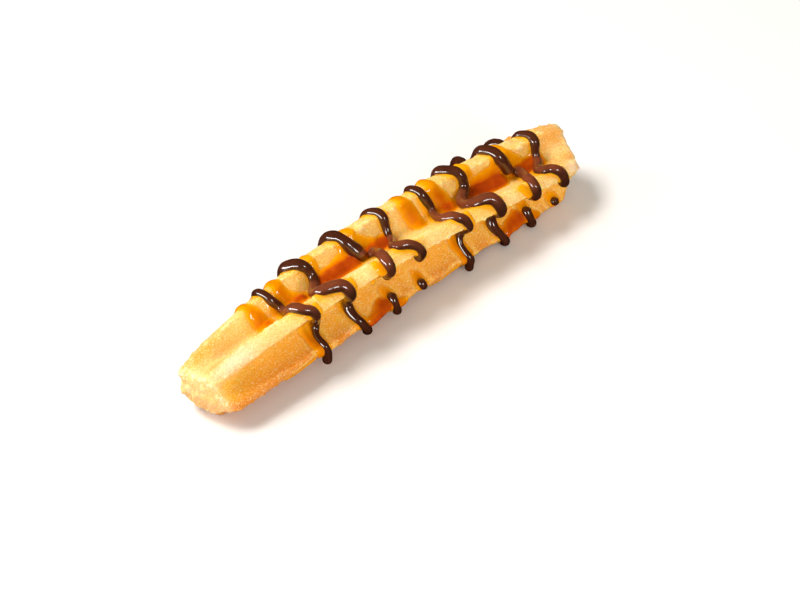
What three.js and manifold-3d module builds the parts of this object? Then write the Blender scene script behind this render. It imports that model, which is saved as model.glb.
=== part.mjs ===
// Churro: one stick of piped, fried dough with five rounded ridges and a slight twist,
// drizzled across with chocolate that has set on it as thick strands with bulbs and drips.
// Millimetres, +Z up. The stick lies along X with its front end at -X and rests on z = 0.
// A place on the skin is given by s, the distance from the front end, and t, the way round
// in ridges: 0 is the crest of the upper far ridge, 1 the crest of the next one towards -Y,
// 2 the one below that, and the half numbers are the grooves between them.
import * as THREE from 'three';
import Module from 'manifold-3d';

// ---- driving dimensions ----
const LENGTH = 145;            // tip to tip
const RIDGES = 5;
const R_BODY = 13.75;          // axis to ridge crest at the fullest place
const R_FRONT = 9.75;          // the same at the front end
const R_BACK = 12.2;           // the same at the back end
const FULLEST = 0.55;          // where the stick is fullest, as a share of its length
const GROOVE_RATIO = 0.42;     // groove bottom radius over crest radius
const CREST_ARC = 4.9;         // the nearly flat top of a ridge: its radius
const CREST_HALF = 18.5;       // and half its angle, in degrees
const CREST_CORNER = 1.1;      // rounding between a ridge's top and its flanks
const GROOVE_ROUND = 1.7;      // rounding of a groove bottom
// Swells of the ridges along their length: height, distance from swell to swell, where
// the first ridge's begin and how far each next ridge's are shifted, in radians.
const WAVES = [[0.17, 14, 3.37, 2.4], [0.12, 23, 0.8, 4.1]];
const WAVE_FROM = 16;          // the piped front is even up to here
const CREST_ANGLE = 134;       // degrees, first crest seen along +X, from -Y up towards +Z
const TWIST = 44;              // degrees over the whole length
const BEND = 1.9;              // sideways bow of the axis at mid length
const FLAT = 0.5;              // how much of the lowest crest is pressed flat by resting
const DOME = 2.6;              // bulge of the end faces
const DOME_POWER = 2.5;        // roundness of the rim: higher is squarer
const FILL_ZONE = 18;          // length over which the grooves fade out towards an end
const END_FILL = 0.4;          // how much of the groove depth is lost there
const END_ZONE = 7;            // length over which an end draws in
const END_SQUEEZE = 0.13;      // how much the crests draw in at an end
const END_TUCK = 1.5;          // how much more a crest that points down draws in there
const END_LEAN = 2.6;          // how far the top of an end face stands out beyond its foot
const END_SKEW = 2.8;          // and how far its +Y side stands out beyond the -Y side

const STRAND_SIDES = 6;
const STRAND_STEP = 2.4;       // way along a strand between its rings
const RIDGE_ARC = 18.5;        // way over one ridge along the skin
const STRAND_REPEAT = 58;      // the pattern of strands comes back after this length,
const STRAND_TURN = 0.06;      // turned back by this many ridges
const STRAND_REST = 0.4;       // height of a strand's centre over the skin, in strand radii
const STRAND_BRIDGE = 1.4;     // how far a strand is held off the bottom of a groove

// The strands: radius, free drip at the foot, and the route as [s, t] pairs.
const STRANDS = [
  {
    radius: 1.25,
    drip: 3.0,
    route: [
      [32.6, -1.16], [30.4, -0.95], [32.2, -0.5], [30.3, -0.02], [31.2, 0.18], [32.8, 0.45],
      [31.6, 0.8], [33.6, 0.96], [36, 1.06], [38.8, 1.42], [37.4, 1.66], [37.2, 1.84], [38, 2.04],
    ],
  },
  {
    radius: 1.6,
    drip: 1.4,
    route: [
      [41.6, -0.32], [42.2, -0.06], [43.6, 0.05], [46, 0.2], [45.8, 0.42], [42.6, 0.62],
      [41.4, 0.86], [45.5, 0.93], [48.4, 1.02], [50.8, 1.42], [50.6, 1.8], [54, 2.06],
    ],
  },
  {
    radius: 1.85,
    drip: 0.3,
    route: [
      [57.2, -1.16], [58.6, -0.95], [56.8, -0.5], [58, -0.06], [59.6, 0.1], [61.4, 0.3],
      [63.2, 0.54],
    ],
  },
  {
    radius: 1.45,
    drip: 0.8,
    route: [[65, 0.5], [65.6, 0.72], [63.6, 0.94], [64, 1.12], [65.4, 1.36]],
  },
  {
    radius: 1.35,
    drip: 0.8,
    route: [
      [70.6, -1.05], [73.4, -0.7], [72, -0.35], [72.9, -0.04], [74.4, 0.12], [74, 0.38],
      [73, 0.6], [69.6, 0.86], [72.6, 0.93], [75.2, 1.03], [76.4, 1.24],
    ],
  },
  {
    radius: 1.5,
    drip: 1.4,
    route: [[64.9, 1.74], [64.3, 1.88], [65.6, 2.02]],
  },
  {
    radius: 1.6,
    drip: 0.2,
    route: [[75.8, 1.8], [75.8, 1.86], [76.4, 1.92]],
  },
];

// ---- the dough's form ----
const clamp = (v, lo, hi) => Math.min(hi, Math.max(lo, v));

function smooth(v) {
  const c = clamp(v, 0, 1);
  return c * c * (3 - 2 * c);
}

// 0 on an end face, 1 where the stick has its full section
function endFade(s, zone = END_ZONE) {
  return smooth(Math.min(s, LENGTH - s) / zone);
}

// Crest radius without swells and end shaping
function plainRadius(s) {
  const u = s / LENGTH;
  const front = (R_BODY - R_FRONT) * clamp(1 - u / FULLEST, 0, 1) ** 2;
  const back = (R_BODY - R_BACK) * clamp((u - FULLEST) / (1 - FULLEST), 0, 1) ** 2;
  return R_BODY - front - back;
}

// Direction of a ridge's crest, from -Y up towards +Z
function crestAngle(s, ridge) {
  return THREE.MathUtils.degToRad(CREST_ANGLE - TWIST * s / LENGTH - ridge * 360 / RIDGES);
}

function crestRadius(s, ridge) {
  const tuck = 1 + END_TUCK * Math.max(0, -Math.sin(crestAngle(s, ridge)));
  const squeeze = 1 - END_SQUEEZE * tuck * (1 - endFade(s));
  let swell = 0;
  for (const [height, length, start, step] of WAVES) {
    swell += height * Math.sin(2 * Math.PI * s / length + start + step * ((ridge + RIDGES) % RIDGES));
  }
  return plainRadius(s) * squeeze + swell * endFade(s) * smooth((s - WAVE_FROM) / 12);
}

function grooveRadius(s) {
  const squeeze = 1 - END_SQUEEZE * (1 - endFade(s));
  return plainRadius(s) * squeeze * (GROOVE_RATIO + END_FILL * (1 - endFade(s, FILL_ZONE)));
}

// One ridge from its crest (w = 0) to the groove (w = 1), even along its arc: a nearly
// flat top, a rounded corner, a straight flank and a round groove, all tangent.
function ridgeOutline(w, crest, groove) {
  const half = Math.PI / RIDGES;
  const hub = groove + GROOVE_ROUND;
  const hx = hub * Math.cos(half);
  const hy = hub * Math.sin(half);
  const top = THREE.MathUtils.degToRad(CREST_HALF);
  const kx = crest - CREST_ARC + (CREST_ARC - CREST_CORNER) * Math.cos(top);
  const ky = (CREST_ARC - CREST_CORNER) * Math.sin(top);
  const gap = Math.hypot(hx - kx, hy - ky);
  const turn = Math.atan2(hy - ky, hx - kx) - Math.acos((CREST_CORNER + GROOVE_ROUND) / gap);
  const onTop = CREST_ARC * top;
  const onCorner = CREST_CORNER * (turn - top);
  const onFlank = Math.sqrt(gap * gap - (CREST_CORNER + GROOVE_ROUND) ** 2);
  const onGroove = GROOVE_ROUND * (turn - half);
  let d = w * (onTop + onCorner + onFlank + onGroove);
  if (d <= onTop) {
    const a = d / CREST_ARC;
    return [crest - CREST_ARC + CREST_ARC * Math.cos(a), CREST_ARC * Math.sin(a)];
  }
  d -= onTop;
  if (d <= onCorner) {
    const a = top + d / CREST_CORNER;
    return [kx + CREST_CORNER * Math.cos(a), ky + CREST_CORNER * Math.sin(a)];
  }
  d -= onCorner;
  if (d <= onFlank) {
    return [
      kx + CREST_CORNER * Math.cos(turn) - d * Math.sin(turn),
      ky + CREST_CORNER * Math.sin(turn) + d * Math.cos(turn),
    ];
  }
  const a = turn + Math.PI - (d - onFlank) / GROOVE_ROUND;
  return [hx + GROOVE_ROUND * Math.cos(a), hy + GROOVE_ROUND * Math.sin(a)];
}

// Offset of a skin place from the axis: towards -Y and up. A bare one leaves out
// the swells and the end shaping.
function sectionPoint(s, t, bare = false) {
  const ridge = Math.round(t);
  const crest = bare ? plainRadius(s) : crestRadius(s, ridge);
  const groove = bare ? crest * GROOVE_RATIO : grooveRadius(s);
  const [out, across] = ridgeOutline(Math.abs(t - ridge) * 2, crest, groove);
  const side = Math.sign(t - ridge);
  const angle = crestAngle(s, ridge);
  return [
    out * Math.cos(angle) + side * across * Math.sin(angle),
    out * Math.sin(angle) - side * across * Math.cos(angle),
  ];
}

// Height of the axis that lets the lowest crest sink FLAT below z = 0.
function axisHeight(s) {
  let low = 0;
  for (let t = 2; t < 4; t += 0.02) {
    low = Math.min(low, sectionPoint(s, t, true)[1]);
  }
  return -low - FLAT;
}

function axisSide(s) {
  const u = s / LENGTH;
  return BEND * 4 * u * (1 - u);
}

// Lengthwise lean of the end faces: the top and the +Y side stand out.
function endLean(s, right, up) {
  const reach = (END_LEAN * up - END_SKEW * right) / R_BODY;
  return reach * (smooth((LENGTH - END_ZONE - s) / -END_ZONE) - smooth((END_ZONE - s) / END_ZONE));
}

// The place (s, t) on the skin; shrink = 1 on the skin, 0 on the axis.
function skinPoint(s, t, shrink = 1) {
  const [right, up] = sectionPoint(s, t);
  return new THREE.Vector3(
    s - LENGTH / 2 + endLean(s, right * shrink, up * shrink),
    axisSide(s) - right * shrink,
    axisHeight(s) + up * shrink,
  );
}

// ---- meshes ----
// A closed tube through rings of equal size, with a point at each end.
function tubeMesh(rings, firstTip, lastTip) {
  const n = rings[0].length;
  const positions = [];
  for (const ring of rings) {
    for (const p of ring) positions.push(p.x, p.y, p.z);
  }
  const head = positions.length / 3;
  positions.push(firstTip.x, firstTip.y, firstTip.z, lastTip.x, lastTip.y, lastTip.z);
  const index = [];
  for (let i = 0; i + 1 < rings.length; i += 1) {
    for (let j = 0; j < n; j += 1) {
      const a = i * n + j;
      const b = i * n + (j + 1) % n;
      index.push(a, a + n, b, b, a + n, b + n);
    }
  }
  const last = (rings.length - 1) * n;
  for (let j = 0; j < n; j += 1) {
    index.push(j, (j + 1) % n, head);
    index.push(last + (j + 1) % n, last + j, head + 1);
  }
  return { positions, index };
}

function signedVolume({ positions, index }) {
  let sum = 0;
  const p = (i) => new THREE.Vector3(positions[3 * i], positions[3 * i + 1], positions[3 * i + 2]);
  for (let i = 0; i < index.length; i += 3) {
    sum += p(index[i]).dot(p(index[i + 1]).cross(p(index[i + 2])));
  }
  return sum / 6;
}

const wasm = await Module();
wasm.setup();

function toSolid(mesh) {
  const index = mesh.index.slice();
  if (signedVolume(mesh) < 0) index.reverse();
  return new wasm.Manifold(new wasm.Mesh({
    numProp: 3,
    vertProperties: Float32Array.from(mesh.positions),
    triVerts: Uint32Array.from(index),
  }));
}

// Columns round the skin, closer on the crests and in the grooves than on the flanks.
function columns() {
  const half = [0, 0.15, 0.27, 0.6, 0.85];
  const list = [];
  for (let ridge = 0; ridge < RIDGES; ridge += 1) {
    for (const w of half) list.push(ridge + w / 2);
    list.push(ridge + 0.5);
    for (const w of half.slice(1).reverse()) list.push(ridge + 1 - w / 2);
  }
  return list;
}

function doughSolid() {
  const around = columns();
  const rings = [];
  const cap = [0.35, 0.62, 0.82, 0.94];
  const rim = (share) => DOME * (1 - (1 - share ** DOME_POWER) ** (1 / DOME_POWER));
  for (const share of cap) {
    const s = rim(share);
    rings.push(around.map((t) => skinPoint(s, t, share)));
  }
  const steps = 40;
  for (let i = 0; i <= steps; i += 1) {
    const u = i / steps;
    const eased = u - 0.055 * Math.sin(2 * Math.PI * u);
    const s = DOME + (LENGTH - 2 * DOME) * eased;
    rings.push(around.map((t) => skinPoint(s, t)));
  }
  for (const share of cap.slice().reverse()) {
    const s = LENGTH - rim(share);
    rings.push(around.map((t) => skinPoint(s, t, share)));
  }
  return toSolid(tubeMesh(rings, skinPoint(0, 0, 0), skinPoint(LENGTH, 0, 0)));
}

// Outward direction of the skin, within the section.
function skinNormal(s, t) {
  const e = 0.004;
  const a = sectionPoint(s, t - e);
  const b = sectionPoint(s, t + e);
  const n = new THREE.Vector3(0, b[1] - a[1], b[0] - a[0]);
  const [right, up] = sectionPoint(s, t);
  const outward = new THREE.Vector3(0, -right, up);
  n.normalize();
  return n.dot(outward) < 0 ? n.negate() : n;
}

// A strand's own radius along its way: a bulb at the head and over the crest at t = 1,
// thinner below that, and a drop at the tip.
function strandRadius(radius, u, t) {
  const head = 0.14 * Math.exp(-((u - 0.04) ** 2) / 0.004);
  const bulb = 0.2 * Math.exp(-((t - 1) ** 2) / 0.024);
  const waves = 0.09 * Math.sin(t * 11 + radius * 9);
  const foot = 0.16 * smooth((t - 1.12) / 0.8);
  const tip = 0.2 * smooth((u - 0.94) / 0.05);
  return radius * (1 + head + bulb + waves - foot + tip);
}

// The middle of a strand where its route passes the place (s, t)
function strandCentre(s, t, radius) {
  const groove = smooth((Math.abs(t - Math.round(t)) * 2 - 0.45) / 0.55);
  const [right, up] = sectionPoint(s, t);
  const outward = new THREE.Vector3(0, -right, up).normalize();
  const centre = skinPoint(s, t);
  centre.addScaledVector(skinNormal(s, t), STRAND_REST * radius);
  return centre.addScaledVector(outward, STRAND_BRIDGE * groove);
}

// Middles and radii of a strand's rings, from its head to the end of its free drip
function strandPath({ radius, drip, route }, shift, turn) {
  const spline = new THREE.SplineCurve(route.map(([s, t]) => new THREE.Vector2(s + shift, t + turn)));
  let way = 0;
  for (let i = 1; i < route.length; i += 1) {
    way += Math.hypot(route[i][0] - route[i - 1][0], (route[i][1] - route[i - 1][1]) * RIDGE_ARC);
  }
  const steps = Math.max(2, Math.round(way / STRAND_STEP));
  const places = [];
  const radii = [];
  for (let i = 0; i <= steps; i += 1) {
    const at = spline.getPoint(i / steps);
    const r = strandRadius(radius, i / steps, at.y - turn);
    radii.push(r);
    places.push(strandCentre(at.x, at.y, r));
  }
  const foot = places[steps];
  for (const share of [0.5, 1]) {
    places.push(new THREE.Vector3(foot.x, foot.y, foot.z - drip * share));
    radii.push(radii[steps]);
  }
  const eased = places.map((p, i) => {
    if (i === 0 || i === places.length - 1) return p;
    return p.clone().multiplyScalar(2).add(places[i - 1]).add(places[i + 1]).multiplyScalar(0.25);
  });
  return { places: eased, radii };
}

// Rings square to the way, each turned as little as possible from the one before
function ringsAlong(places, radii) {
  const last = places.length - 1;
  let side = new THREE.Vector3(1, 0, 0);
  return places.map((centre, i) => {
    const along = places[Math.min(i + 1, last)].clone().sub(places[Math.max(i - 1, 0)]).normalize();
    side = side.clone().addScaledVector(along, -side.dot(along)).normalize();
    const other = new THREE.Vector3().crossVectors(along, side);
    const r = radii[i] * (i === 0 || i === last ? 0.62 : 1);
    return Array.from({ length: STRAND_SIDES }, (_, j) => {
      const a = 2 * Math.PI * j / STRAND_SIDES;
      return centre.clone().addScaledVector(side, r * Math.cos(a)).addScaledVector(other, r * Math.sin(a));
    });
  });
}

function strandSolid(strand, shift, turn) {
  const { places, radii } = strandPath(strand, shift, turn);
  const tip = (end, inner, share) => end.clone().add(end.clone().sub(inner).setLength(share * strand.radius));
  const last = places.length - 1;
  return toSolid(tubeMesh(
    ringsAlong(places, radii),
    tip(places[0], places[1], 0.5),
    tip(places[last], places[last - 1], 0.4),
  ));
}

function slab(below) {
  const box = new THREE.BoxGeometry(LENGTH * 2, 100, below);
  box.translate(0, 0, -below / 2);
  const corners = [];
  const seen = new Map();
  const index = [];
  const place = box.getAttribute('position');
  for (const i of box.index.array) {
    const key = [place.getX(i), place.getY(i), place.getZ(i)].join();
    if (!seen.has(key)) {
      seen.set(key, corners.length / 3);
      corners.push(place.getX(i), place.getY(i), place.getZ(i));
    }
    index.push(seen.get(key));
  }
  return toSolid({ positions: corners, index });
}

// ---- the part ----
let churro = doughSolid();
for (const repeat of [0, 1]) {
  for (const strand of STRANDS) {
    churro = churro.add(strandSolid(strand, STRAND_REPEAT * repeat, -STRAND_TURN * repeat));
  }
}
churro = churro.subtract(slab(20));

const solid = churro.getMesh();
const geometry = new THREE.BufferGeometry();
geometry.setAttribute('position', new THREE.BufferAttribute(Float32Array.from(solid.vertProperties), 3));
geometry.setIndex(new THREE.BufferAttribute(Uint32Array.from(solid.triVerts), 1));
geometry.computeBoundingBox();
const centre = geometry.boundingBox.getCenter(new THREE.Vector3());
geometry.translate(-centre.x, -centre.y, 0);
geometry.computeVertexNormals();

const dough = new THREE.MeshStandardMaterial({ color: 0xdca050, roughness: 0.65, metalness: 0 });
const stick = new THREE.Mesh(geometry, dough);
stick.name = 'churro';

const part = new THREE.Group();
part.name = 'churro_part';
part.add(stick);

export default part;
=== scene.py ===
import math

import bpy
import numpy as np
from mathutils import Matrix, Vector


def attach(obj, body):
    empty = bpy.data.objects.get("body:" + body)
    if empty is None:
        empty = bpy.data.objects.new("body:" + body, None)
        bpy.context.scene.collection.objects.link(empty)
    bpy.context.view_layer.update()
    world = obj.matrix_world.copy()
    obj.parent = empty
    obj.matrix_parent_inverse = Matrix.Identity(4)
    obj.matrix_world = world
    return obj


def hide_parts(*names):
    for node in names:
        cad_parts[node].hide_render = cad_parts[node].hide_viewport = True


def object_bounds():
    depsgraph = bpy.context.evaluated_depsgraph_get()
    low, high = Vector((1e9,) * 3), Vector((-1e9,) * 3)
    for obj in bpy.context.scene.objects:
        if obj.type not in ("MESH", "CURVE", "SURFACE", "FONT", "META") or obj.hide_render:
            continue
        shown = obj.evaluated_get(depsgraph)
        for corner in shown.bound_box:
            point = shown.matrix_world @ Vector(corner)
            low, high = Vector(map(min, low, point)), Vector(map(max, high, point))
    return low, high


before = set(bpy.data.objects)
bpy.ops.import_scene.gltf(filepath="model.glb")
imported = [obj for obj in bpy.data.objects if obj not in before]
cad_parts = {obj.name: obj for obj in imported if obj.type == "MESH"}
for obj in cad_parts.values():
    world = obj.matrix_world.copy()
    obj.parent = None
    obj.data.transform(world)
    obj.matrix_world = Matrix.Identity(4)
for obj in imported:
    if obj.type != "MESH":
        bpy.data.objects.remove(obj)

# A churro: one ridged, twisted stick of fried dough, with caramel sauce lying in its grooves
# and thick strands of chocolate set across it. Sizes of the form are in millimetres, meshes
# and the studio in metres. A place on the skin is (s, t): s is the distance from the front
# end, and t goes round in ridges: 0 is the crest of the upper far ridge, 1 the next crest
# towards -Y, and so on. The half numbers are the grooves between them.

CAD_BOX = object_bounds()
MM = 0.001

# ------------------------------------------------------------------ sizes of the dough
LENGTH = 145.0                     # tip to tip, along the axis
RIDGES = 5
R_BODY = 13.75                     # axis to ridge crest at the fullest place
R_FRONT = 9.75                     # the same at the front end
R_BACK = 12.2                      # the same at the back end
FULLEST = 0.55                     # where the stick is fullest, as a share of its length
GROOVE_RATIO = 0.42                # groove bottom radius over crest radius
GROOVE_ROUND = 1.7                 # rounding of a groove bottom
CREST_ARC = 4.9                    # the nearly flat top of a ridge: its radius
CREST_HALF = math.radians(18.5)    # and half its angle
CREST_CORNER = 1.1                 # rounding between a ridge's top and its flanks
# Swells of the ridges along their length: height, distance from swell to swell, where the
# first ridge's begin and how far each next ridge's are shifted, in radians.
WAVES = ((0.17, 14.0, 3.37, 2.4), (0.12, 23.0, 0.8, 4.1))
WAVE_FROM = 16.0                   # the piped front is even up to here
WAVE_RISE = 12.0                   # length over which the swells set in
CREST_ANGLE = 134.0                # degrees, first crest seen along +X, from -Y up towards +Z
TWIST = 44.0                       # degrees over the whole length
BEND = 1.9                         # sideways bow of the axis at mid length
FLAT = 0.5                         # how much of the lowest crest is pressed flat by resting
DOME = 2.6                         # bulge of the end faces
DOME_POWER = 2.5                   # roundness of their rim: higher is squarer
FILL_ZONE = 18.0                   # length over which the grooves fade out towards an end
END_FILL = 0.4                     # how much higher the groove ratio is on an end face
END_ZONE = 7.0                     # length over which an end draws in
END_SQUEEZE = 0.13                 # how much the crests draw in at an end
END_TUCK = 1.5                     # how much more a crest that points down draws in there
END_LEAN = 2.6                     # how far the top of an end face stands out beyond its foot
END_SKEW = 2.8                     # and how far its +Y side stands out beyond the -Y side
RIDGE_ARC = 18.5                   # way over one ridge along the skin, for distances on it
GROOVE_FROM = 0.45                 # where a groove begins, from crest (0) to groove bottom (1)

# The grid of points on the skin
RING_STEP = 0.42                   # distance between rings of points along the stick
COLUMNS_PER_RIDGE = 50
CAP_RINGS = 26                     # rings on each end face
CAP_START = 0.03                   # the smallest of them, as a share of the section

# ------------------------------------------------------------------ sizes of the strands
STRAND_STEP = 0.4                  # way along a strand between its rings
STRAND_SIDES = 20
STRAND_REPEAT = 58.0               # the pattern of strands comes back after this length,
STRAND_TURN = 0.06                 # turned back by this many ridges
STRAND_REST = 0.4                  # height of a strand's centre over the skin, in strand radii
STRAND_BRIDGE = 1.4                # how far a strand is held off the bottom of a groove
STRAND_RELAXED = 8                 # rounds of smoothing of a strand's path
DRIP_STEP = 0.35                   # way down a free drip between its rings
TIP_LENGTH = 0.95                  # length of a strand's round tip, in strand radii
TIP_LEAST = 0.02                   # squared share of the radius that is left at the very tip

# Strands: radius, free drip at the foot, and the route as (s, t) pairs.
STRANDS = (
    (1.25, 3.0, ((32.6, -1.16), (30.4, -0.95), (32.2, -0.5), (30.3, -0.02), (31.2, 0.18),
                 (32.8, 0.45), (31.6, 0.8), (33.6, 0.96), (36, 1.06), (38.8, 1.42),
                 (37.4, 1.66), (37.2, 1.84), (38, 2.04))),
    (1.6, 1.4, ((41.6, -0.32), (42.2, -0.06), (43.6, 0.05), (46, 0.2), (45.8, 0.42),
                (42.6, 0.62), (41.4, 0.86), (45.5, 0.93), (48.4, 1.02), (50.8, 1.42),
                (50.6, 1.8), (54, 2.06))),
    (1.85, 0.3, ((57.2, -1.16), (58.6, -0.95), (56.8, -0.5), (58.0, -0.06), (59.6, 0.1),
                 (61.4, 0.3), (63.2, 0.54))),
    (1.45, 0.8, ((65, 0.5), (65.6, 0.72), (63.6, 0.94), (64, 1.12), (65.4, 1.36))),
    (1.35, 0.8, ((70.6, -1.05), (73.4, -0.7), (72, -0.35), (72.9, -0.04), (74.4, 0.12),
                 (74, 0.38), (73, 0.6), (69.6, 0.86), (72.6, 0.93), (75.2, 1.03), (76.4, 1.24))),
    (1.5, 1.4, ((64.9, 1.74), (64.3, 1.88), (65.6, 2.02))),
    (1.6, 0.2, ((75.8, 1.8), (75.8, 1.86), (76.4, 1.92))),
)

# ------------------------------------------------------------------ sizes of the sauce
# Runs of caramel: from (s, t) to (s, t), radius at each end, depth of the sauce. The near
# runs come back with the pattern of strands, and the others don't.
NEAR_RUNS = (
    (25.6, -0.5, 24.4, -0.1, 1.5, 1.9, 0.5),
    (24.4, -0.1, 24.8, 0.2, 1.9, 2.4, 0.6),
    (24.8, 0.2, 26.8, 0.46, 2.4, 3.2, 0.85),
    (34.2, -0.72, 35.2, -0.08, 1.9, 1.9, 0.55),
    (35.2, -0.08, 35.4, 0.2, 2.0, 2.5, 0.7),
    (35.4, 0.2, 38.0, 0.46, 2.5, 3.4, 0.9),
    (49.4, -0.3, 48.2, 0.0, 1.3, 1.5, 0.45),
    (48.2, 0.0, 49.0, 0.35, 1.5, 2.2, 0.5),
    (49.5, 0.42, 61.0, 0.38, 2.2, 3.2, 0.9),
    (58.6, 0.16, 58.0, 0.45, 1.4, 2.4, 0.6),
    (61.6, -0.62, 62.8, -0.04, 1.8, 1.5, 0.5),
    (62.8, -0.04, 63.6, 0.18, 1.5, 1.7, 0.6),
    (63.6, 0.18, 67.5, 0.42, 1.7, 2.6, 0.7),
    (59.8, 0.98, 61.8, 1.12, 1.8, 1.8, 0.55),
    (61.8, 1.12, 63.0, 1.5, 1.8, 1.3, 0.5),
    (50.6, 0.98, 51.2, 1.2, 1.5, 1.2, 0.5),
    (37.8, 0.98, 38.6, 1.15, 1.3, 1.1, 0.5),
    (54.5, 1.94, 61.0, 1.84, 2.2, 2.8, 1.15),
    (61.0, 1.84, 68.0, 1.96, 2.8, 2.2, 0.6),
    (23.0, 2.1, 33.0, 2.02, 0.8, 1.5, 0.4),
    (35.6, 1.5, 35.2, 1.75, 1.4, 1.8, 0.5),
    (35.2, 1.75, 36.0, 2.0, 1.8, 2.0, 0.6),
)
OTHER_RUNS = (
    (33.0, -1.05, 34.5, -0.7, 1.8, 2.2, 0.6),
    (60.5, -1.15, 62.0, -0.7, 2.0, 2.2, 0.6),
    (91.0, -0.9, 92.4, -0.55, 1.6, 2.0, 0.5),
)
# Pools of caramel in a groove: its t, from s to s, depth over the bottom.
NEAR_POOLS = ((0.5, 24.5, 31.0, 0.9), (0.5, 34.0, 43.0, 1.5),
              (0.5, 45.0, 63.0, 2.5), (0.5, 62.5, 77.0, 2.1))
OTHER_POOLS = ((4.5, 31.0, 39.0, 1.4), (4.5, 56.0, 70.0, 1.6), (4.5, 88.0, 98.0, 1.3))
# What the pattern's next copy adds to each number of a run and of a pool
RUN_MOVE = (STRAND_REPEAT, -STRAND_TURN, STRAND_REPEAT, -STRAND_TURN, 0, 0, 0)
POOL_MOVE = (0, STRAND_REPEAT, STRAND_REPEAT, 0)

FRINGE = 1.3                       # how far thin caramel shows beside the strands
FRINGE_DEPTH = 0.42
EDGE_POWER = 1.2                   # roundness of a run's edge: lower is rounder
POOL_FADE = 3.5                    # length over which a pool runs out
POOL_TRIM = 0.22                   # taken off a pool's height, so that it ends on the flanks
POOL_LEAST = 0.4                   # depth below which a pool thins out to nothing
MENISCUS = 1.1                     # rounding where a pool meets the flanks
SINK = 0.3                         # how far the sheet dips into the dough beyond its edge
SHEET_BASE = 0.45                  # depth of the sheet's hidden side below the dough's skin
SHEET_HIDES = 0.35                 # depth of sauce that hides the dough's fine relief
SHEET_EVEN = 0.03                  # how deep the evened dough under such sauce lies
SHEET_EDGE = 0.01                  # depth of sauce at the edge that shows
SHEET_MARGIN = 3                   # grid steps that the sheet goes on beyond that edge
SHEET_LOWEST = 0.02                # height over the floor that the sheet's outer side keeps
BASE_LOWEST = 0.05                 # and its hidden side
FILM_ON_POOL = 0.5                 # share of a run's depth that counts where it meets a pool
STAIN_REACH = 0.29                 # dip of the sheet where the stain round the sauce has faded
STAIN_FILL = 0.1                   # height of a pool that stains the dough below it fully
SOFTENED = 8                       # rounds of blurring of the depth that colours the sauce
LOW_SAUCE_SHADE = 0.8                   # how much deeper sauce low on the stick is coloured, as painted shade

# ------------------------------------------------------------------ sizes of the relief
# Layers of unevenness: height, size of the features, seed.
LUMPS = ((0.16, 9, 1), (0.05, 4, 2))
LINES = ((0.12, 1, 3),)            # size in lines, see LINE_LENGTH and LINE_WIDTH
GRAIN = ((0.02, 1.5, 4), (0.035, 0.8, 5))
RAGGED = ((0.32, 2.6, 7), (0.36, 1.2, 8))
STRAND_LUMPS = ((0.16, 3.6, 31), (0.03, 1.5, 32))   # heights in strand radii
WANDER_ALONG = ((0.8, 5.0, 21), (0.3, 2.2, 22))     # push the sauce's edges about along the stick
WANDER_ROUND = ((0.035, 3.6, 23),)                  # and round it, in ridges

LINE_LENGTH, LINE_WIDTH = 24, 1.2  # of the lines that the nozzle drew in the dough
CRUMB_HEIGHT = 0.42
CRUMB_SIZE, CRUMB_SEED = 1.0, 6
CRUMB_FROM = 0.15                  # level of the noise from which it stands out as crumbs
# How high crumbs stand everywhere, and how much more on the crests and on their corners
CRUMBS_ALL, CRUMBS_CREST, CRUMBS_CORNER = 0.1, 0.5, 1.5
CRUMB_FULL = 0.28                  # height of a crumb that has its full colour
CRUMBS_LOW = 0.85                  # how much of that colour is lost on the low flanks
RELIEF_SUNK = 0.14                 # the relief as a whole lies this much deeper
NOISE_CELLS = 48                   # noise comes back after this many of its cells
NOISE_SHIFT = 100.5                # puts the origin in the middle of a cell of noise
SKIN_STEP = 0.004                  # step in t for the skin's directions
AXIS_POINTS = 581                  # places along the axis where its height is worked out
AXIS_STEP = 0.02                   # step in t with which the lowest place is looked for there

# Bands round the stick, by t: start, way in, end, way out
LOW_BAND = (1.12, 0.25, 3.9, 0.7)    # the flanks and ridges that face down, which get painted shade
UNDERSIDE_SHADE_BAND = (1.62, 0.35, 3.9, 0.7)  # the underside, with the deepest painted shade
SAUCE_SHADE_BAND = (1.45, 0.3, 3.9, 0.5)    # low down, where the sauce is coloured deeper as painted shade
SHEEN_BAND = (0.4, 0.12, 1.05, 0.1)  # the valley between the top ridges, where the strands get their strongest painted sheen


# ------------------------------------------------------------------ curves
def smooth(v):
    """0 up to 0, 1 from 1 on, and an even S between them."""
    c = np.clip(v, 0, 1)
    return c * c * (3 - 2 * c)


def fading(v, start, over):
    """1 up to start, 0 from start + over on."""
    return 1 - smooth((v - start) / over)


def band(v, start, rise, end, fall):
    """0 up to start, 1 from start + rise to end, and 0 again from end + fall on."""
    return smooth((v - start) / rise) * fading(v, end, fall)


def peak(v, middle, width):
    return np.exp(-((v - middle) / width) ** 2)


def spline(points, n):
    """Uniform Catmull-Rom curve through the points, at n places."""
    p = np.asarray(points, float)
    u = np.linspace(0, len(p) - 1, n)
    i = np.minimum(u.astype(int), len(p) - 2)
    f = (u - i)[:, None]
    start, end = p[i], p[i + 1]
    before, after = p[np.maximum(i - 1, 0)], p[np.minimum(i + 2, len(p) - 1)]
    v0, v1 = (end - before) / 2, (after - start) / 2
    cubed, squared = 2 * start - 2 * end + v0 + v1, 3 * end - 3 * start - 2 * v0 - v1
    return cubed * f ** 3 + squared * f ** 2 + v0 * f + start


# ------------------------------------------------------------------ form of the dough
def end_distance(s):
    return np.minimum(s, LENGTH - s)


def end_fade(s, zone=END_ZONE):
    """0 on an end face, 1 from zone on."""
    return smooth(end_distance(s) / zone)


def across_ridge(t):
    """0 on a crest, 1 in a groove."""
    return np.abs(t - np.round(t)) * 2


def grooveness(t):
    return smooth((across_ridge(t) - GROOVE_FROM) / (1 - GROOVE_FROM))


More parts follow.
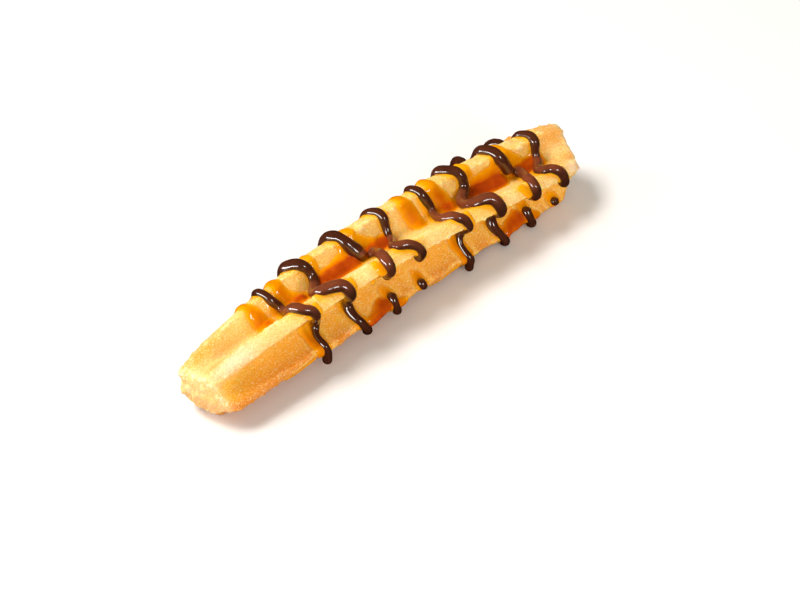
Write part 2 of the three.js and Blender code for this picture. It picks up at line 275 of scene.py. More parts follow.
def plain_radius(s):
    u = s / LENGTH
    front = (R_BODY - R_FRONT) * np.clip(1 - u / FULLEST, 0, 1) ** 2
    back = (R_BODY - R_BACK) * np.clip((u - FULLEST) / (1 - FULLEST), 0, 1) ** 2
    return R_BODY - front - back


def crest_angle(s, ridge):
    return np.radians(CREST_ANGLE - TWIST * s / LENGTH - ridge * 360 / RIDGES)


def crest_radius(s, ridge):
    tuck = 1 + END_TUCK * np.maximum(0, -np.sin(crest_angle(s, ridge)))
    squeeze = 1 - END_SQUEEZE * tuck * (1 - end_fade(s))
    swell = sum(height * np.sin(2 * np.pi * s / length + start + step * np.mod(ridge, RIDGES))
                for height, length, start, step in WAVES)
    return plain_radius(s) * squeeze + swell * end_fade(s) * smooth((s - WAVE_FROM) / WAVE_RISE)


def groove_radius(s):
    squeeze = 1 - END_SQUEEZE * (1 - end_fade(s))
    return plain_radius(s) * squeeze * (GROOVE_RATIO + END_FILL * (1 - end_fade(s, FILL_ZONE)))


def ridge_outline(w, crest, groove):
    """One ridge from crest (w = 0) to groove (w = 1): flat top, round corner, flank, round groove.

    x goes out from the axis through the crest, and y across. The corner's circle is round
    (kx, ky), the groove's round (hx, hy), and the flank touches both.
    """
    half = np.pi / RIDGES
    hx, hy = (groove + GROOVE_ROUND) * np.cos(half), (groove + GROOVE_ROUND) * np.sin(half)
    kx = crest - CREST_ARC + (CREST_ARC - CREST_CORNER) * np.cos(CREST_HALF)
    ky = (CREST_ARC - CREST_CORNER) * np.sin(CREST_HALF)
    gap = np.hypot(hx - kx, hy - ky)
    turn = np.arctan2(hy - ky, hx - kx) - np.arccos((CREST_CORNER + GROOVE_ROUND) / gap)
    top, corner = CREST_ARC * CREST_HALF, CREST_CORNER * (turn - CREST_HALF)
    flank = np.sqrt(gap ** 2 - (CREST_CORNER + GROOVE_ROUND) ** 2)
    bottom = GROOVE_ROUND * (turn - half)
    d = w * (top + corner + flank + bottom)
    a = np.minimum(d, top) / CREST_ARC
    b = CREST_HALF + np.clip(d - top, 0, corner) / CREST_CORNER
    f = np.clip(d - top - corner, 0, flank)
    c = turn + np.pi - np.clip(d - top - corner - flank, 0, bottom) / GROOVE_ROUND
    parts = (d <= top, d <= top + corner, d <= top + corner + flank)
    x = np.select(parts, (crest - CREST_ARC + CREST_ARC * np.cos(a), kx + CREST_CORNER * np.cos(b),
                          kx + CREST_CORNER * np.cos(turn) - f * np.sin(turn)), hx + GROOVE_ROUND * np.cos(c))
    y = np.select(parts, (CREST_ARC * np.sin(a), ky + CREST_CORNER * np.sin(b),
                          ky + CREST_CORNER * np.sin(turn) + f * np.cos(turn)), hy + GROOVE_ROUND * np.sin(c))
    return x, y


def section(s, t, bare=False):
    """Offset of a skin place from the axis: towards -Y and up. A bare one has no swells or end shaping."""
    s, t = np.broadcast_arrays(np.asarray(s, float), np.asarray(t, float))
    ridge = np.round(t)
    crest = plain_radius(s) if bare else crest_radius(s, ridge)
    groove = crest * GROOVE_RATIO if bare else groove_radius(s)
    out, across = ridge_outline(across_ridge(t), crest, groove)
    across = across * np.sign(t - ridge)
    angle = crest_angle(s, ridge)
    return out * np.cos(angle) + across * np.sin(angle), out * np.sin(angle) - across * np.cos(angle)


# Height of the axis: the lowest place of the bare section, which is between the crests 2 and 4,
# would lie FLAT below the floor.
AXIS_S = np.linspace(0, LENGTH, AXIS_POINTS)
LOWER_T = np.arange(2, 4, AXIS_STEP)
AXIS_Z = -section(AXIS_S[:, None], LOWER_T[None], True)[1].min(1) - FLAT


def skin(s, t, share=1.0):
    """The place (s, t) in millimetres; share is 1 on the skin and 0 on the axis."""
    right, up = section(s, t)
    s = np.broadcast_to(s, right.shape)
    right, up = right * share, up * share
    lean = smooth((s - LENGTH + END_ZONE) / END_ZONE) - smooth((END_ZONE - s) / END_ZONE)
    x = s - LENGTH / 2 + (END_LEAN * up - END_SKEW * right) / R_BODY * lean
    y = BEND * 4 * (s / LENGTH) * (1 - s / LENGTH) - right
    return np.stack([x, y, np.interp(s, AXIS_S, AXIS_Z) + up], -1)


def skin_directions(s, t):
    """The skin's own normal within the section, and the direction away from the axis."""
    a, b, (right, up) = section(s, t - SKIN_STEP), section(s, t + SKIN_STEP), section(s, t)
    zero = np.zeros_like(right)
    normal = np.stack([zero, b[1] - a[1], b[0] - a[0]], -1)
    away = np.stack([zero, -right, up], -1)
    normal /= np.linalg.norm(normal, axis=-1, keepdims=True)
    away /= np.linalg.norm(away, axis=-1, keepdims=True)
    return normal * np.sign((normal * away).sum(-1, keepdims=True)), away


# ------------------------------------------------------------------ noise
def noise(p, cell, seed):
    """Smooth noise from -1 to 1 over points p, with features about cell in size."""
    table = np.random.default_rng(seed).random((NOISE_CELLS,) * 3) * 2 - 1
    q = np.asarray(p) / cell + NOISE_SHIFT
    i = np.floor(q).astype(int)
    f = smooth(q - i)
    total = 0
    for corner in np.ndindex(2, 2, 2):
        x, y, z = np.moveaxis((i + corner) % NOISE_CELLS, -1, 0)
        fx, fy, fz = np.moveaxis(np.where(corner, f, 1 - f), -1, 0)
        total = total + fx * fy * fz * table[x, y, z]
    return total


def layered(p, layers):
    """The sum of layers of noise over points p."""
    return sum(height * noise(p, cell, seed) for height, cell, seed in layers)


def relief(p, s, t):
    """How far the fried surface stands out from its plain form, and how far its crumbs alone do."""
    across = across_ridge(t)
    crest, corner = fading(across, 0, 0.34), peak(across, 0.24, 0.09)
    end = fading(end_distance(s), 0.5, 5.5)
    along, around = np.broadcast_arrays(s / LINE_LENGTH, t * RIDGE_ARC / LINE_WIDTH)
    lines = layered(np.stack([along, around, 0 * along], -1), LINES)
    crowd = CRUMBS_ALL + CRUMBS_CREST * crest + CRUMBS_CORNER * corner + end
    crumbs = CRUMB_HEIGHT * np.maximum(noise(p, CRUMB_SIZE, CRUMB_SEED) - CRUMB_FROM, 0) * crowd
    ragged = end * layered(p, RAGGED)
    return layered(p, LUMPS) + lines + layered(p, GRAIN) + crumbs + ragged - RELIEF_SUNK, crumbs


# ------------------------------------------------------------------ where the sauce lies
def round_from(t, t0):
    """The shorter way round from t0 to t, in ridges."""
    return np.mod(t - t0 + RIDGES / 2, RIDGES) - RIDGES / 2


def repeated(rows, move):
    """The rows, and their copies one pattern further on."""
    return list(rows) + [tuple(np.add(row, move)) for row in rows]


def all_runs():
    fringe = [(s0, t0, s1, t1, radius + FRINGE, radius + FRINGE, FRINGE_DEPTH)
              for radius, _, route in STRANDS for (s0, t0), (s1, t1) in zip(route, route[1:])]
    return repeated((*NEAR_RUNS, *fringe), RUN_MOVE) + list(OTHER_RUNS)


def wandering(s, t, p):
    """The places (s, t) pushed about, so that the sauce gets uneven edges."""
    return s + layered(p, WANDER_ALONG), t + layered(p, WANDER_ROUND)


def run_depth(s, t, run):
    """Depth of one run of sauce at the places (s, t), sinking below 0 outside it."""
    s0, t0, s1, t1, r0, r1, depth = run
    ax, ay = s1 - s0, (t1 - t0) * RIDGE_ARC
    px, py = s - s0, round_from(t, t0) * RIDGE_ARC
    u = np.clip((px * ax + py * ay) / (ax * ax + ay * ay), 0, 1)
    far = np.hypot(px - u * ax, py - u * ay) / (r0 + (r1 - r0) * u)
    return depth * np.clip(1 - far ** 2, 0, 1) ** EDGE_POWER - SINK * np.clip(far - 1, 0, 1)


def film_depth(s, t, p):
    """Depth of the runs of sauce at the places (s, t), which are the points p."""
    s, t = wandering(s, t, p)
    depth = np.full(np.broadcast(s, t).shape, -SINK)
    for run in all_runs():
        depth = np.maximum(depth, run_depth(s, t, run))
    return depth


def pool_rise(s, t, p):
    """How far the level of a pool stands over the skin, away from the axis, with a meniscus."""
    right, up = section(s, t)
    radius, bottom = np.hypot(right, up), groove_radius(s)
    s, _ = wandering(s, t, p)
    rise = np.zeros(radius.shape)
    for groove, start, end, depth in repeated(NEAR_POOLS, POOL_MOVE) + list(OTHER_POOLS):
        level = bottom + depth * smooth((s - start) / POOL_FADE) * smooth((end - s) / POOL_FADE)
        inside = np.abs(round_from(t, groove)) < 0.5
        fill = (level - radius + np.hypot(level - radius, MENISCUS)) / 2 - MENISCUS / 2 * (level <= bottom)
        deep = smooth((level - bottom) / POOL_LEAST)
        rise = np.maximum(rise, np.where(inside, (fill - POOL_TRIM) * deep, 0))
    return rise


# ------------------------------------------------------------------ grids and meshes
def dough_grid():
    """s and share of every ring, with domed ends, and t of every column."""
    cap = np.linspace(CAP_START, 1, CAP_RINGS, endpoint=False)
    rim = DOME * (1 - (1 - cap ** DOME_POWER) ** (1 / DOME_POWER))
    body = np.linspace(DOME, LENGTH - DOME, int((LENGTH - 2 * DOME) / RING_STEP))
    s = np.concatenate([rim, body, LENGTH - rim[::-1]])
    share = np.concatenate([cap, np.ones_like(body), cap[::-1]])
    t = np.arange(RIDGES * COLUMNS_PER_RIDGE) / COLUMNS_PER_RIDGE
    return s[:, None], share[:, None], t[None]


def grid_normals(p):
    """Outward normals of a grid of points (rings, columns, 3) that is closed round the columns."""
    along = np.gradient(p, axis=0)
    around = np.roll(p, -1, 1) - np.roll(p, 1, 1)
    n = np.cross(along, around)
    n /= np.maximum(np.linalg.norm(n, axis=-1, keepdims=True), 1e-9)
    middle = p.shape[0] // 2
    inward = (n[middle] * (p[middle] - p[middle].mean(0))).sum() < 0
    return -n if inward else n


class Surface:
    """The skin as a grid of rings and columns: its form, its relief and the sauce that lies on it."""

    def __init__(self):
        self.s, self.share, self.t = dough_grid()
        self.plain = skin(self.s, self.t, self.share)
        self.normals = grid_normals(self.plain)
        self.stands, self.crumbs = relief(self.plain, self.s, self.t)
        self.body = self.plain + self.normals * self.stands[..., None]
        self.film = film_depth(self.s, self.t, self.plain)
        self.rise = pool_rise(self.s, self.t, self.plain)


def ring_faces(rings, columns):
    i = np.arange(rings - 1)[:, None] * columns
    j = np.arange(columns)[None]
    k = (j + 1) % columns
    return np.stack([i + j, i + k, i + columns + k, i + columns + j], -1).reshape(-1, 4).tolist()


def tube_faces(rings, columns):
    """Faces of a closed tube, whose points are its rings and then one for each end."""
    last, head = (rings - 1) * columns, rings * columns
    first_fan = [[(j + 1) % columns, j, head] for j in range(columns)]
    last_fan = [[last + j, last + (j + 1) % columns, head + 1] for j in range(columns)]
    return ring_faces(rings, columns) + first_fan + last_fan


def with_ends(v):
    """Values on the rings of a closed tube, and then the ones for its two end points."""
    return np.append(v.ravel(), [v[0].mean(), v[-1].mean()])


def raised(p, lowest):
    """The points p, with none below the height lowest."""
    p = p.copy()
    p[..., 2] = np.maximum(p[..., 2], lowest)
    return p


def add_object(name, data):
    added = bpy.data.objects.new(name, data)
    bpy.context.scene.collection.objects.link(added)
    return added


def make_mesh(name, points, faces, values=None):
    """A smooth-shaded mesh object from points in millimetres, with named values on its points."""
    mesh = bpy.data.meshes.new(name)
    mesh.from_pydata((np.asarray(points) * MM).tolist(), [], faces)
    mesh.polygons.foreach_set("use_smooth", np.ones(len(mesh.polygons), bool))
    for key, value in (values or {}).items():
        attribute = mesh.attributes.new(key, "FLOAT", "POINT")
        attribute.data.foreach_set("value", np.asarray(value, np.float32).ravel())
    mesh.update()
    return add_object(name, mesh)


# ------------------------------------------------------------------ dough
def dough_values(surface):
    """What the dough's material reads on the mesh, each value from 0 to 1."""
    s, t, share = surface.s, surface.t, surface.share
    inward, side = end_distance(s), share ** 8
    # painted shade: the flanks and ridges that face down are coloured deeper, the underside deepest
    low = band(t, *LOW_BAND)
    return {
        "crest": fading(across_ridge(t), 0, 0.4) * (1 - low) * side,
        "taper": fading(inward, 5, 17),
        "rim": peak(inward, 1.2, 1.0) * smooth((share - 0.7) / 0.2),
        "end": fading(inward, 0.6, 4),
        "low": low,
        "crumb": smooth(surface.crumbs / CRUMB_FULL) * (1 - CRUMBS_LOW * low),
        "hollow": grooveness(t) * (1 - low) * fading(inward, 16, 12),
        # painted highlight on the near upper ridge's top near each end
        "painted_highlight": peak(t, 1, 0.17) * peak(inward, 9, 8) * side,
        # painted shade on the underside
        "underside_shade": band(t, *UNDERSIDE_SHADE_BAND),
        "stain": np.maximum(smooth(1 + surface.film / STAIN_REACH), smooth(surface.rise / STAIN_FILL)),
    }


def make_dough(surface):
    p = raised(surface.body, 0)
    points = np.vstack([p.reshape(-1, 3), p[0].mean(0), p[-1].mean(0)])
    values = {name: with_ends(np.broadcast_to(value, p.shape[:2]))
              for name, value in dough_values(surface).items()}
    return make_mesh("churro_dough", points, tube_faces(*p.shape[:2]), values)


# ------------------------------------------------------------------ caramel
def grown(mask, times):
    """The mask on the grid of rings and columns, spread by that many steps each way."""
    for _ in range(times):
        wide = mask | np.roll(mask, 1, 1) | np.roll(mask, -1, 1)
        mask = wide.copy()
        mask[1:] |= wide[:-1]
        mask[:-1] |= wide[1:]
    return mask


def softened(v, times):
    """Values on the grid of rings and columns, blurred along and round the stick."""
    for _ in range(times):
        v = (2 * v + np.roll(v, 1, 1) + np.roll(v, -1, 1)) / 4
        v[1:-1] = (2 * v[1:-1] + v[:-2] + v[2:]) / 4
    return v


def closed_sheet(top, base, wanted):
    """Points and faces of the sheet between two grids, where wanted, and the numbers of its points."""
    rings, columns = wanted.shape
    n = rings * columns
    quads = np.array(ring_faces(rings, columns))
    quads = quads[wanted.ravel()[quads].all(1)]
    rim = {}
    for q in quads.tolist():
        for a, b in zip(q, q[1:] + q[:1]):
            if (b, a) in rim:
                del rim[b, a]
            else:
                rim[a, b] = True
    walls = [[b, a, a + n, b + n] for a, b in rim]
    faces = np.vstack([quads, quads[:, ::-1] + n, walls])
    used = np.unique(faces)
    place = np.full(2 * n, -1)
    place[used] = np.arange(len(used))
    return np.vstack([top.reshape(-1, 3), base.reshape(-1, 3)])[used], place[faces].tolist(), used


def make_caramel(surface):
    """One closed sheet: its upper side stands over the dough where there is sauce and dips into it beyond."""
    plain, normals, body = surface.plain, surface.normals, surface.body
    film, rise = surface.film, surface.rise
    _, away = skin_directions(surface.s, surface.t)
    even = plain + normals * (layered(plain, LUMPS[:1]) - SHEET_EVEN)[..., None]
    cover = smooth(np.maximum(film, rise) / SHEET_HIDES)[..., None]
    top = body * (1 - cover) + even * cover + normals * film[..., None] + away * rise[..., None]
    base = body - normals * SHEET_BASE
    height = np.maximum(film, rise + np.maximum(film, 0) * FILM_ON_POOL)
    wanted = grown(height > SHEET_EDGE, SHEET_MARGIN)
    points, faces, used = closed_sheet(raised(top, SHEET_LOWEST), raised(base, BASE_LOWEST), wanted)

    height = np.maximum(height, 0)
    # painted shade: sauce low on the stick takes the colour of deeper sauce
    sauce_shade = 1 + LOW_SAUCE_SHADE * band(surface.t, *SAUCE_SHADE_BAND)
    values = {name: np.tile(value.ravel(), 2)[used]
              for name, value in (("film", height), ("depth", softened(height, SOFTENED) * sauce_shade))}
    sauce = make_mesh("caramel_sauce", points, faces, values)
    sauce.visible_shadow = False
    return sauce


# ------------------------------------------------------------------ chocolate
SHEEN_LIT_SIDE = np.array([-0.31, 0.43, 0.85])   # the side of a strand, facing the lamps, that gets a lighter painted sheen
SHEEN_FROM, SHEEN_OVER = -0.35, 1.1          # cosine to that side where it begins, and way until it is full
SHEEN_OFF_BAND = 0.12                             # how much of that painted sheen there is off the valley between the top ridges
STRAND_LOWEST = 0.05                         # height over the floor that the strands keep


def strand_radius(radius, u, t):
    """Radius along a strand: bulbs at its head and over the crest at t = 1, thin below, a drop at the tip."""
    head = 0.14 * np.exp(-((u - 0.04) ** 2) / 0.004)
    bulb = 0.2 * np.exp(-((t - 1) ** 2) / 0.024)
    waves = 0.09 * np.sin(t * 11 + radius * 9)
    foot = 0.16 * smooth((t - 1.12) / 0.8)
    tip = 0.2 * smooth((u - 0.94) / 0.05)
    return radius * (1 + head + bulb + waves - foot + tip)


def strand_path(radius, drip, route, shift, turn):
    """A strand's middle line, its radius at each point, and each point's t in the first pattern."""
    moves = np.diff(np.array(route), axis=0) * (1, RIDGE_ARC)
    n = max(12, int(np.hypot(*moves.T).sum() / STRAND_STEP))
    s, t = spline([(s + shift, t + turn) for s, t in route], n).T
    r = strand_radius(radius, np.linspace(0, 1, n), t - turn)
    normal, away = skin_directions(s, t)
    path = skin(s, t) + normal * (STRAND_REST * r)[:, None] + away * (STRAND_BRIDGE * grooveness(t))[:, None]
    hang = np.linspace(0, drip, int(drip / DRIP_STEP) + 2)[1:]
    path = np.vstack([path, path[-1] - np.array([0, 0, 1]) * hang[:, None]])
    for _ in range(STRAND_RELAXED):
        path[1:-1] = (path[:-2] + 2 * path[1:-1] + path[2:]) / 4
    return path, np.append(r, 0 * hang + r[-1]), np.append(t - turn, 0 * hang + route[-1][1])


def round_tips(path, r):
    """The radii r along the path, drawn in to a round tip at each end."""
    gone = np.append(0, np.cumsum(np.linalg.norm(np.diff(path, axis=0), axis=1)))
    from_tip = np.minimum(gone, gone[-1] - gone)
    return r * np.sqrt(np.clip(1 - (1 - np.clip(from_tip / (TIP_LENGTH * r), 0, 1)) ** 2, TIP_LEAST, 1))


def tube_rings(path, r):
    """Rings of points of radius r round the path, a little uneven."""
    along = np.gradient(path, axis=0)
    along /= np.linalg.norm(along, axis=1, keepdims=True)
    angle = (2 * np.pi * np.arange(STRAND_SIDES) / STRAND_SIDES)[:, None]
    side = np.array([1.0, 0, 0])
    rings = []
    for place, ahead, radius in zip(path, along, r):
        side = side - ahead * side.dot(ahead)
        side /= np.linalg.norm(side)
        other = np.cross(ahead, side)
        rings.append(place + radius * (np.cos(angle) * side + np.sin(angle) * other))
    rings = np.array(rings)
    return path[:, None] + (rings - path[:, None]) * (1 + layered(rings, STRAND_LUMPS))[..., None]


def sheen_painted(rings, path, r, t):
    """How much painted sheen, a lighter brown on the side that faces the lamps, each point of a strand has.
    """
    between = band(t, *SHEEN_BAND)[:, None]
    outward = (rings - path[:, None]) / np.maximum(r, 0.01)[:, None, None]
    facing = smooth((outward @ SHEEN_LIT_SIDE - SHEEN_FROM) / SHEEN_OVER)
    return (SHEEN_OFF_BAND + (1 - SHEEN_OFF_BAND) * between) * facing


def make_chocolate():
    points, faces, painted_sheen, start = [], [], [], 0
    for repeat in (0, 1):
        for radius, drip, route in STRANDS:
            path, r, t = strand_path(radius, drip, route, STRAND_REPEAT * repeat, -STRAND_TURN * repeat)
            r = round_tips(path, r)
            rings = tube_rings(path, r)
            points += [rings.reshape(-1, 3), path[:1], path[-1:]]
            faces += [[v + start for v in face] for face in tube_faces(*rings.shape[:2])]
            # painted sheen on the side of each strand that faces the lamps
            painted_sheen.append(with_ends(sheen_painted(rings, path, r, t)))
            start += len(painted_sheen[-1])
    points = raised(np.vstack(points), STRAND_LOWEST)
    return make_mesh("chocolate_strands", points, faces, {"painted_sheen": np.concatenate(painted_sheen)})


# ------------------------------------------------------------------ materials
# Colours are the 0 to 255 values of a picture. A row of tones is a ramp over a noise or a
# depth, with each tone's place on it from 0 to 1.
DOUGH_TONES = ((0.3, (248, 198, 107)), (0.5, (251, 208, 121)), (0.7, (252, 215, 134)))
DOUGH_TINTS = (                    # value on the mesh, how strongly it tints, colour
    ("taper", 0.95, (243, 166, 62)),   # the stretch before each end
    ("low", 0.9, (248, 178, 42)),      # painted shade on the flanks and ridges that face down
    ("underside_shade", 0.9, (216, 122, 14)),    # the deepest painted shade, on the underside
    ("hollow", 0.5, (254, 226, 158)),  # grooves near an end
    ("crest", 0.3, (249, 206, 140)),   # tops of the upper ridges
    ("painted_highlight", 0.75, (253, 235, 206)),   # painted highlight on the near upper ridge's top near an end
    ("end", 0.55, (253, 222, 158)),    # the end faces
    ("stain", 0.65, (251, 193, 82)),   # dough that the sauce has coloured
)
# Grain of the dough: pale specks, partly real grain and partly painted glints, and brown specks
GRAIN_PALE_GLINT, GRAIN_BROWN = (255, 236, 178), (224, 144, 50)
CRUMB_TINT, CRUMB_SHARE = (255, 236, 184), 0.45
RIM_TINT = (255, 242, 212)
CARAMEL_TONES = ((0.0, (248, 186, 74)), (0.07, (246, 172, 24)), (0.22, (230, 144, 2)),
                 (0.42, (208, 106, 2)), (0.66, (186, 76, 8)), (1.0, (160, 58, 10)))
CARAMEL_DEEP = 2.1                 # depth of sauce that has the last of these tones
CARAMEL_CLEAR = 0.3                # depth of sauce from which the dough doesn't show through
CHOCOLATE_TONES = ((0.35, (54, 25, 14)), (0.65, (70, 34, 19)))
# painted sheen: the lighter brown where the strands face the lamps
PAINTED_SHEEN_TINT = (122, 62, 38)
FLOOR_TONES = ((0.3, (234, 233, 236)), (0.7, (238, 237, 240)))


def linear(tone):
    """The linear colour of a picture's tone."""
    def channel(c):
        return c / 12.92 if c <= 0.04045 else ((c + 0.055) / 1.055) ** 2.4
    return (*(channel(c / 255) for c in tone), 1.0)


class Shader:
    """A material with short calls for the nodes that the materials here use."""

    SOCKETS = {"color": "Base Color", "roughness": "Roughness", "normal": "Normal", "ior": "IOR",
               "coat": "Coat Weight", "coat_roughness": "Coat Roughness", "coat_ior": "Coat IOR",
               "subsurface": "Subsurface Weight", "subsurface_scale": "Subsurface Scale",
               "subsurface_radius": "Subsurface Radius", "alpha": "Alpha"}

    def __init__(self, name):
        self.material = bpy.data.materials.new(name)
        self.material.use_nodes = True
        self.tree = self.material.node_tree
        self.surface = next(n for n in self.tree.nodes if n.type == "BSDF_PRINCIPLED")
        self.place = self.tree.nodes.new("ShaderNodeTexCoord").outputs["Object"]

    def link(self, value, socket):
        if isinstance(value, bpy.types.NodeSocket):
            self.tree.links.new(value, socket)
        else:
            socket.default_value = value

    def noise(self, scale, detail=2.0, rough=0.5):
        """Noise with about scale features to the metre."""
        n = self.tree.nodes.new("ShaderNodeTexNoise")
        n.inputs["Scale"].default_value = scale
        n.inputs["Detail"].default_value = detail
        n.inputs["Roughness"].default_value = rough
        self.link(self.place, n.inputs["Vector"])
        return n.outputs["Fac"]

    def value(self, name):
        """A value that the mesh has on its points."""
        n = self.tree.nodes.new("ShaderNodeAttribute")
        n.attribute_name = name
        return n.outputs["Fac"]

    def map(self, value, lo, hi, to_lo=0.0, to_hi=1.0):
        n = self.tree.nodes.new("ShaderNodeMapRange")
        self.link(value, n.inputs["Value"])
        for key, v in (("From Min", lo), ("From Max", hi), ("To Min", to_lo), ("To Max", to_hi)):
            n.inputs[key].default_value = v
        return n.outputs["Result"]

    def times(self, a, b):
        n = self.tree.nodes.new("ShaderNodeMath")
        n.operation = "MULTIPLY"
        self.link(a, n.inputs[0])
        self.link(b, n.inputs[1])
        return n.outputs[0]

    def tint(self, tone, share, other):
        """The tone, with a share of another one mixed in."""
        n = self.tree.nodes.new("ShaderNodeMix")
        n.data_type = "RGBA"
        self.link(share, n.inputs[0])
        self.link(tone, n.inputs[6])
        self.link(linear(other), n.inputs[7])
        return n.outputs[2]

    def ramp(self, value, stops):
        n = self.tree.nodes.new("ShaderNodeValToRGB")
        self.link(value, n.inputs[0])
        line = n.color_ramp.elements
        while len(line) < len(stops):
            line.new(0.5)
        for element, (at, tone) in zip(line, stops):
            element.position = at
            element.color = linear(tone)
        return n.outputs[0]

    def bump(self, height, distance, strength=1.0):
        n = self.tree.nodes.new("ShaderNodeBump")
        n.inputs["Distance"].default_value = distance
        n.inputs["Strength"].default_value = strength
        self.link(height, n.inputs["Height"])
        return n.outputs["Normal"]

    def set(self, **values):
        for key, v in values.items():
            self.link(v, self.surface.inputs[self.SOCKETS[key]])
        return self.material


def dough_colour(k):
    """Golden fried dough: pale on crests and ends, painted shade low down and deepest underneath, a painted
    highlight on the near upper ridge by each end, amber round the sauce.
    """
    tone = k.ramp(k.noise(110, 3), DOUGH_TONES)
    for name, share, tint in DOUGH_TINTS:
        tone = k.tint(tone, k.times(k.value(name), share), tint)
    grain = k.noise(2400, 1)
    # pale grain specks, partly painted glints
    tone = k.tint(tone, k.map(grain, 0.53, 0.7, 0.0, 0.6), GRAIN_PALE_GLINT)
    tone = k.tint(tone, k.map(grain, 0.47, 0.3, 0.0, 0.42), GRAIN_BROWN)
    tone = k.tint(tone, k.times(k.value("crumb"), CRUMB_SHARE), CRUMB_TINT)
    speckles, patches = k.map(k.noise(1500, 2, 0.6), 0.45, 0.65), k.map(k.noise(260, 1), 0.4, 0.6, 0.25, 0.9)
    return k.tint(tone, k.times(k.value("rim"), k.times(speckles, patches)), RIM_TINT)


def dough_material():
    k = Shader("fried_dough_skin")
    pores = k.bump(k.noise(2900, 2, 0.6), 0.00026)
    return k.set(color=dough_colour(k), roughness=0.46, ior=1.3, normal=pores,
                 subsurface=0.6, subsurface_scale=0.002, subsurface_radius=(1.0, 0.42, 0.12))


def caramel_material():
    k = Shader("caramel_gloss")
    patchy = k.map(k.noise(240), 0.3, 0.7, 0.7, 1.25)
    tone = k.ramp(k.times(k.map(k.value("depth"), 0.0, CARAMEL_DEEP), patchy), CARAMEL_TONES)
    return k.set(color=tone, alpha=k.map(k.value("film"), 0.0, CARAMEL_CLEAR), roughness=0.08, ior=1.4,
                 subsurface=0.15, subsurface_scale=0.0012, subsurface_radius=(1.0, 0.35, 0.08))


def chocolate_material():
    k = Shader("chocolate_gloss")
    # painted sheen: a lighter brown on the side of the strands that faces the lamps
    painted_sheen = k.times(k.value("painted_sheen"), k.map(k.noise(220), 0.3, 0.7, 0.6, 1.0))
    tone = k.tint(k.ramp(k.noise(140), CHOCOLATE_TONES), painted_sheen, PAINTED_SHEEN_TINT)
    return k.set(color=tone, roughness=0.36, ior=1.15, normal=k.bump(k.noise(300), 0.00005, 0.5),
                 coat=0.9, coat_roughness=0.1, coat_ior=1.65,
                 subsurface=0.08, subsurface_scale=0.001, subsurface_radius=(1.0, 0.5, 0.3))


def floor_material():
    k = Shader("studio_floor")
    return k.set(color=k.ramp(k.noise(6), FLOOR_TONES), roughness=0.7, ior=1.0)


# ------------------------------------------------------------------ studio
FLOOR_HALF = 3000                  # half the side of the floor, in millimetres
WHITE = (1.0, 1.0, 1.0)
LAMP_AIM = (0, 0, 0.01)
# Lamps: place, size, watts, colour, whether glossy surfaces show them, whether they light matt ones.
LAMPS = {
    "key": ((-0.36, 0.36, 0.88), (0.42, 0.32), 10.3, (1.0, 0.965, 0.9), False, True),
    "window": ((-0.14, -0.9, 0.36), (0.22, 0.22), 2.6, WHITE, True, True),
    "glint": ((-0.62, 0.56, 0.5), (0.2, 0.2), 1.8, WHITE, False, True),
    "card": ((-0.94, 0.06, 0.14), (1.1, 0.22), 17.0, WHITE, True, False),
    "fill": ((-0.75, -0.95, 0.7), (1.5, 1.5), 9.2, (1.0, 0.92, 0.76), False, True),
}
SKY, SKY_STRENGTH = (1.0, 0.93, 0.8, 1.0), 0.32
SENSOR, LENS, CLIP = 36, 120, (0.01, 50)
SHIFT = (0.0213, -0.0496)
CAMERA_AIM, CAMERA_DISTANCE = (0, 0, 0.012), 0.7466
AZIMUTH, ELEVATION = math.radians(-46.1), math.radians(39.63)


def make_floor():
    corners = [(x * FLOOR_HALF, y * FLOOR_HALF, 0) for x, y in ((-1, -1), (1, -1), (1, 1), (-1, 1))]
    floor = make_mesh("floor", corners, [[0, 1, 2, 3]])
    floor.data.materials.append(floor_material())
    floor.visible_glossy = False


def make_light():
    for name, (place, size, watts, tint, glossy, diffuse) in LAMPS.items():
        light = bpy.data.lights.new(name, "AREA")
        light.shape = "RECTANGLE"
        light.size, light.size_y = size
        light.energy = watts
        light.color = tint
        lamp = add_object(name, light)
        lamp.visible_camera = False
        lamp.visible_glossy = glossy
        lamp.visible_diffuse = diffuse
        lamp.location = place
        lamp.rotation_euler = (Vector(LAMP_AIM) - Vector(place)).to_track_quat("-Z", "Y").to_euler()
    world = bpy.data.worlds.new("studio")
    world.use_nodes = True
    back = world.node_tree.nodes["Background"]
    back.inputs[0].default_value = SKY
    back.inputs[1].default_value = SKY_STRENGTH
    world.cycles_visibility.glossy = False
    bpy.context.scene.world = world


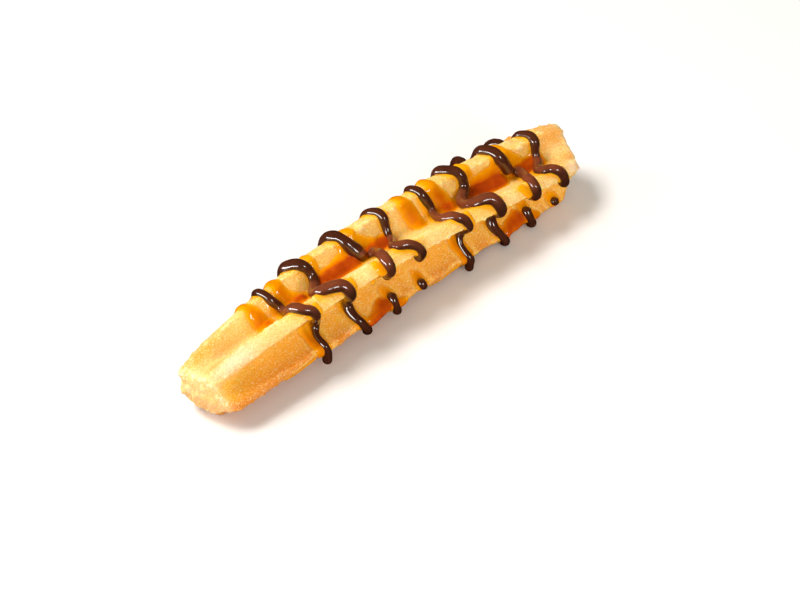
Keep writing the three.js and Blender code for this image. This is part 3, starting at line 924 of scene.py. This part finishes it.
def make_camera():
    data = bpy.data.cameras.new("camera")
    data.sensor_width, data.lens = SENSOR, LENS
    data.shift_x, data.shift_y = SHIFT
    data.clip_start, data.clip_end = CLIP
    camera = add_object("camera", data)
    level = math.cos(ELEVATION)
    towards = Vector((math.sin(AZIMUTH) * level, -math.cos(AZIMUTH) * level, math.sin(ELEVATION)))
    camera.location = Vector(CAMERA_AIM) + CAMERA_DISTANCE * towards
    camera.rotation_euler = (math.pi / 2 - ELEVATION, 0, AZIMUTH)
    bpy.context.scene.camera = camera
    view = bpy.context.scene.view_settings
    view.view_transform = "Standard"
    view.look = "None"
    view.exposure = 0.0
    view.gamma = 1.0


# ------------------------------------------------------------------ the whole
CAD_MIDDLE = (0.15, 1.92, 0.0)     # the middle of the CAD's box, from midway between the axis' ends
EASE_ZONE = 1.5                    # depth, in overshoots, over which the easing works


def settle(pieces):
    """Moves the pieces into the CAD's frame, and eases what stands out of its box back into it."""
    places = []
    for piece in pieces:
        co = np.empty(len(piece.data.vertices) * 3, np.float32)
        piece.data.vertices.foreach_get("co", co)
        places.append(co.reshape(-1, 3) - np.array(CAD_MIDDLE) * MM)
    for axis in range(3):
        for side, limit in ((-1, -CAD_BOX[0][axis]), (1, CAD_BOX[1][axis])):
            over = max((co[:, axis] * side).max() for co in places) - limit
            if over <= 0:
                continue
            zone = EASE_ZONE * over
            for co in places:
                beyond = np.maximum(co[:, axis] * side - limit + zone, 0)
                co[:, axis] -= side * (beyond - zone * (1 - np.exp(-beyond / zone)))
    for piece, co in zip(pieces, places):
        piece.data.vertices.foreach_set("co", co.astype(np.float32).ravel())
        piece.data.update()


surface = Surface()
dough, caramel, chocolate = make_dough(surface), make_caramel(surface), make_chocolate()
settle((dough, caramel, chocolate))
for piece, slot, material in ((dough, "fried_dough", dough_material()),
                              (caramel, "caramel", caramel_material()),
                              (chocolate, "chocolate", chocolate_material())):
    piece.data.materials.append(material)
    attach(piece, "root")
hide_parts("churro")
make_floor()
make_light()
make_camera()
